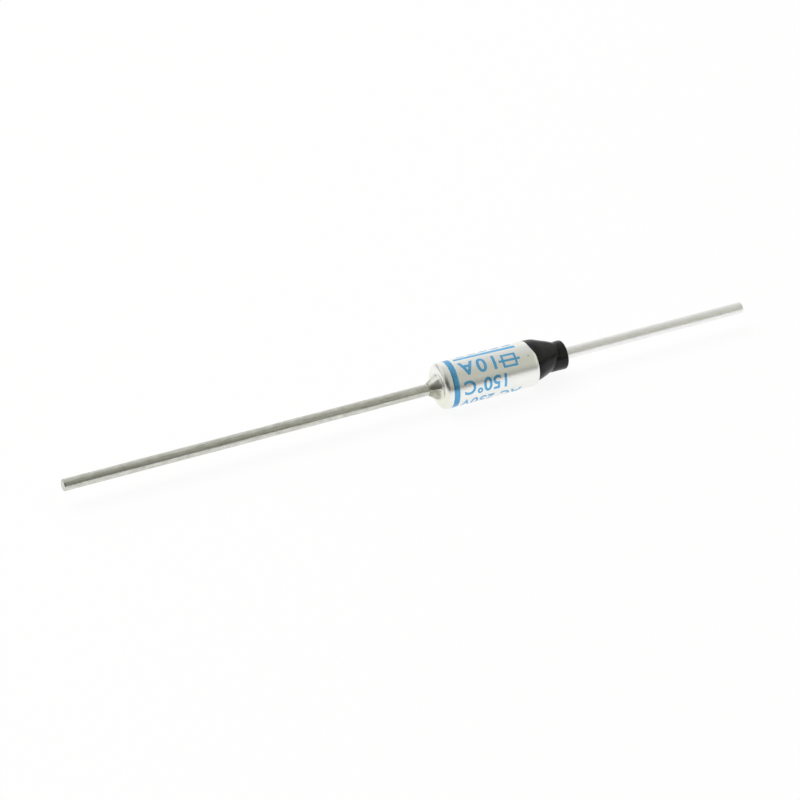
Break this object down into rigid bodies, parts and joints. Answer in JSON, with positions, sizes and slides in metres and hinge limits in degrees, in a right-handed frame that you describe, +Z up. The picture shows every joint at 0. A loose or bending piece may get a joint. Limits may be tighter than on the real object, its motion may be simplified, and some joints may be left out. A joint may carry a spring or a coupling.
{
  "type": "thermal fuse",
  "caption": "One-shot axial-lead thermal fuse: a plated can with a lead staked into its closed end and another leaving through a black resin seal; a melting pellet opens the contact inside.",
  "frame": {"origin": "on the axis, at the middle of the can between its closed face and its rolled rim", "axes": "+X along the axis towards the isolated lead, +Z up when the fuse lies on its can"},
  "size_m": [0.0625, 0.004, 0.004],
  "materials": {
    "plated_can": "bright tin plate over drawn metal",
    "tinned_lead": "drawn and tinned copper wire",
    "pellet_wax": "pressed organic pellet",
    "disc_steel": "stamped sheet",
    "spring_wire": "drawn spring wire",
    "contact_silver": "silver-faced sheet",
    "bushing_ceramic": "pressed and fired, unglazed",
    "black_resin": "cured epoxy, semi-gloss"
  },
  "bodies": {
    "root": {"case": "plated_can", "case_lead": "tinned_lead", "pellet": "pellet_wax", "pellet_disc": "disc_steel", "main_spring": "spring_wire", "spring_disc": "disc_steel", "star_contact": "contact_silver", "trip_spring": "spring_wire", "bushing": "bushing_ceramic", "isolated_lead": "tinned_lead", "resin_seal": "black_resin"}
  },
  "joints": []
}
